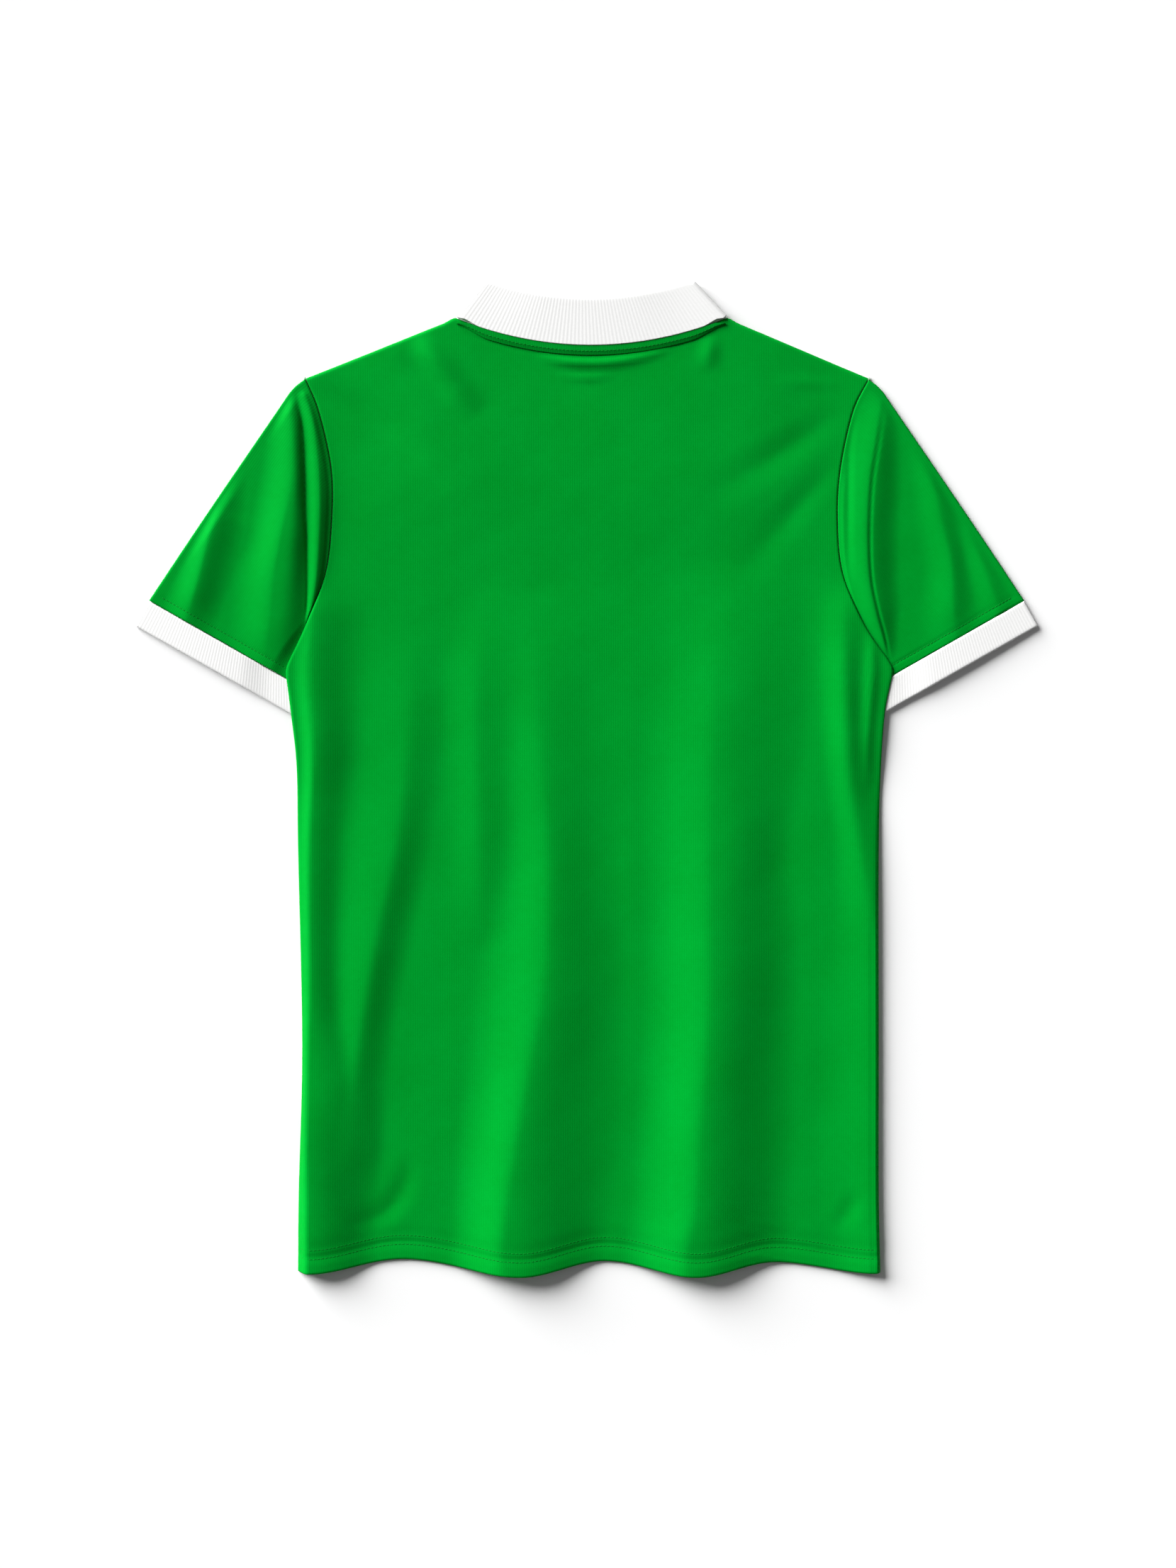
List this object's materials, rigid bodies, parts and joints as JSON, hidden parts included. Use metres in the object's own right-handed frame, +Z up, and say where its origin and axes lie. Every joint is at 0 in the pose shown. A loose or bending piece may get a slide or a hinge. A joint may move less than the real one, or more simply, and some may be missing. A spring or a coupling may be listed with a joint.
{
  "type": "football jersey",
  "caption": "Short-sleeved knitted football jersey with a white fold-over collar and white cuffs, laid flat on its front so that its back shows.",
  "frame": {"origin": "middle of the jersey's footprint, on the surface it lies on", "axes": "+X towards the wearer's right sleeve (to the right as seen from above), +Y towards the collar, +Z up out of the surface"},
  "size_m": [0.7136, 0.7864, 0.0144],
  "materials": {
    "green_knit": "satin polyester interlock knit",
    "white_rib": "matt white flat knit"
  },
  "bodies": {
    "root": {"back": "green_knit", "front": "green_knit", "sleeve_left": "green_knit", "sleeve_right": "green_knit", "neck_band": "green_knit", "cuff_left": "white_rib", "cuff_right": "white_rib", "collar": "white_rib"}
  },
  "joints": []
}
